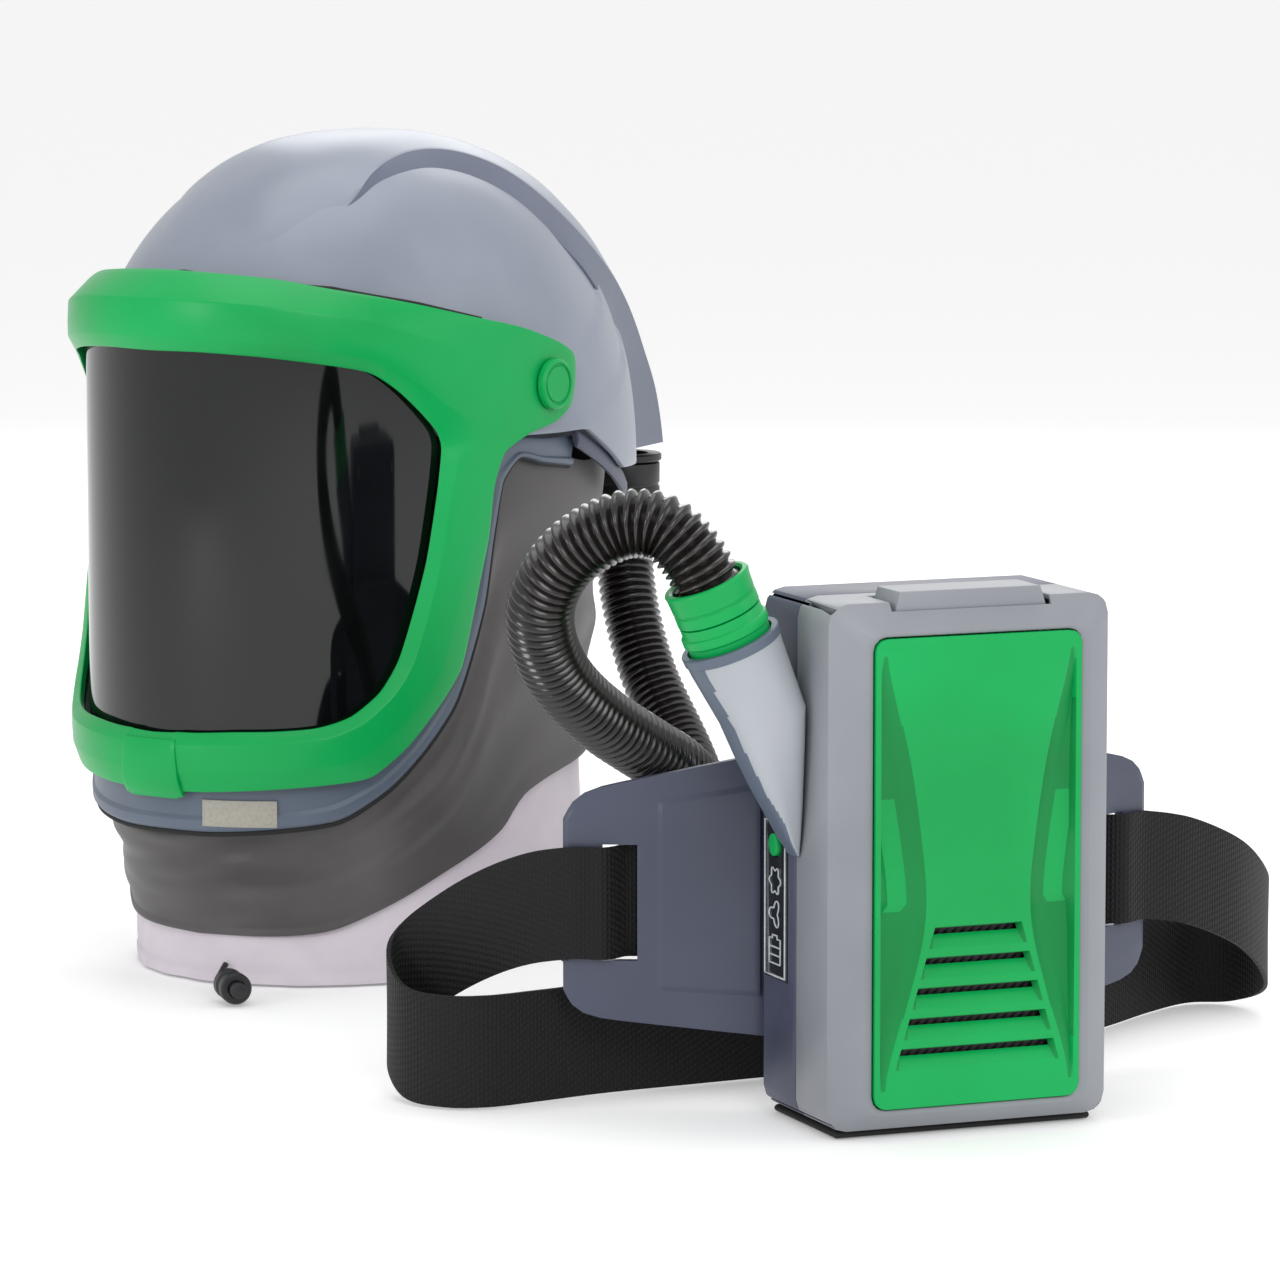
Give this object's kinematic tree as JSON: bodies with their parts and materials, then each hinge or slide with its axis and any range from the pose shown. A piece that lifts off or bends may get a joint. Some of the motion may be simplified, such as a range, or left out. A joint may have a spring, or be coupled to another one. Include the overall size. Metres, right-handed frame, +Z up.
{
  "type": "powered air respirator",
  "caption": "Hard-top respirator helmet with a hinged visor and fabric cape, fed by a corrugated hose from a belt-worn blower unit.",
  "frame": {"origin": "middle of the underside of the blower unit's base plate, on the floor", "axes": "+Z up; -Y out of the unit's filter cover; +X to the right of the unit as seen from its front"},
  "size_m": [0.4901, 0.6839, 0.4104],
  "materials": {
    "shell_grey": "satin moulded ABS",
    "unit_grey": "fine satin moulded plastic",
    "slate": "satin moulded plastic",
    "green": "semi-gloss moulded plastic",
    "smoke_lens": "clear-cast polycarbonate with a dark filter",
    "black_rubber": "soft black elastomer",
    "black_plastic": "moulded black plastic",
    "hose_black": "glossy corrugated plastic",
    "bib_fabric": "coated woven fabric",
    "cape_fabric": "light non-woven fabric",
    "webbing": "woven belt webbing",
    "filter_media": "pleated filter media",
    "steel": "machined steel",
    "board": "solder mask",
    "label": "pale blank plate"
  },
  "bodies": {
    "respirator": {"air_nozzle": "slate", "base_plate": "black_plastic", "belt_plate": "slate", "belt_strap_left": "webbing", "belt_strap_right": "webbing", "bib": "bib_fabric", "blower_volute": "slate", "breathing_hose": "hose_black", "brow_pad": "cape_fabric", "brow_seal": "black_rubber", "buckle_plug": "black_plastic", "buckle_socket": "black_plastic", "cape": "cape_fabric", "chin_plate": "label", "circuit_board": "board", "control_panel": "black_plastic", "cord_lock_body": "black_plastic", "crown_shell": "shell_grey", "crown_strap_cross": "webbing", "crown_strap_long": "webbing", "drawstring": "webbing", "filter_bay_wall": "slate", "filter_element": "filter_media", "filter_seal": "black_rubber", "front_bezel": "unit_grey", "headband": "black_plastic", "headband_link_left": "black_plastic", "headband_link_right": "black_plastic", "helmet_hose_cuff": "black_rubber", "hose_cuff": "green", "hose_inlet_socket": "black_plastic", "housing_screw_1": "steel", "housing_screw_2": "steel", "housing_screw_3": "steel", "housing_screw_4": "steel", "jaw_frame": "slate", "motor": "steel", "outlet_spout": "unit_grey", "pivot_cap_left": "green", "pivot_cap_right": "green", "pivot_pin_left": "steel", "pivot_pin_right": "steel", "pre_filter": "filter_media", "ratchet_housing": "black_plastic", "rear_duct_cover": "shell_grey", "rear_housing": "slate"},
    "visor": {"visor_bezel": "green", "visor_lens": "smoke_lens", "lens_gasket": "black_rubber"},
    "filter_door": {"filter_cover": "green"},
    "latch": {"cover_latch": "unit_grey"},
    "button": {"power_button": "green"},
    "battery": {"battery_pack": "black_plastic"},
    "battery_catch": {"battery_latch": "green"},
    "fan": {"impeller": "green", "motor_shaft": "steel"},
    "collar": {"lock_collar": "green"},
    "size_knob": {"ratchet_knob": "slate"},
    "cord_button": {"cord_lock_plunger": "black_plastic"}
  },
  "joints": [
    {"name": "visor_hinge", "type": "hinge", "parent": "respirator", "child": "visor", "pos_m": [-0.08996, 0.49961, 0.29], "axis": [-0.5299, 0.848, 0], "range_deg": [0, 75]},
    {"name": "filter_cover_hinge", "type": "hinge", "parent": "respirator", "child": "filter_door", "pos_m": [0, -0.0448, 0.0141], "axis": [1, 0, 0], "range_deg": [0, 70]},
    {"name": "cover_latch_press", "type": "slide", "parent": "respirator", "child": "latch", "axis": [0, 0, -1], "range_m": [0, 0.003], "stiffness_N_per_m": 600, "springref_m": -0.004},
    {"name": "power_button_press", "type": "slide", "parent": "respirator", "child": "button", "axis": [1, 0, 0], "range_m": [0, 0.001], "stiffness_N_per_m": 500, "springref_m": -0.002},
    {"name": "battery_slide", "type": "slide", "parent": "respirator", "child": "battery", "axis": [1, 0, 0], "range_m": [0, 0.07]},
    {"name": "battery_latch_press", "type": "slide", "parent": "battery", "child": "battery_catch", "axis": [-1, 0, 0], "range_m": [0, 0.003], "stiffness_N_per_m": 600, "springref_m": -0.003},
    {"name": "impeller_spin", "type": "hinge", "parent": "respirator", "child": "fan", "pos_m": [0, 0.008, 0.14425], "axis": [0, 1, 0], "continuous": true},
    {"name": "lock_collar_turn", "type": "hinge", "parent": "respirator", "child": "collar", "pos_m": [-0.0975, 0, 0.215], "axis": [-0.3907, 0, 0.9205], "range_deg": [0, 45]},
    {"name": "ratchet_knob_turn", "type": "hinge", "parent": "respirator", "child": "size_knob", "pos_m": [0.00332, 0.5579, 0.303], "axis": [0.848, 0.5299, 0], "range_deg": [-180, 180]},
    {"name": "cord_lock_press", "type": "slide", "parent": "respirator", "child": "cord_button", "axis": [0.0849, 0.9964, 0], "range_m": [0, 0.003], "stiffness_N_per_m": 300, "springref_m": -0.004}
  ]
}
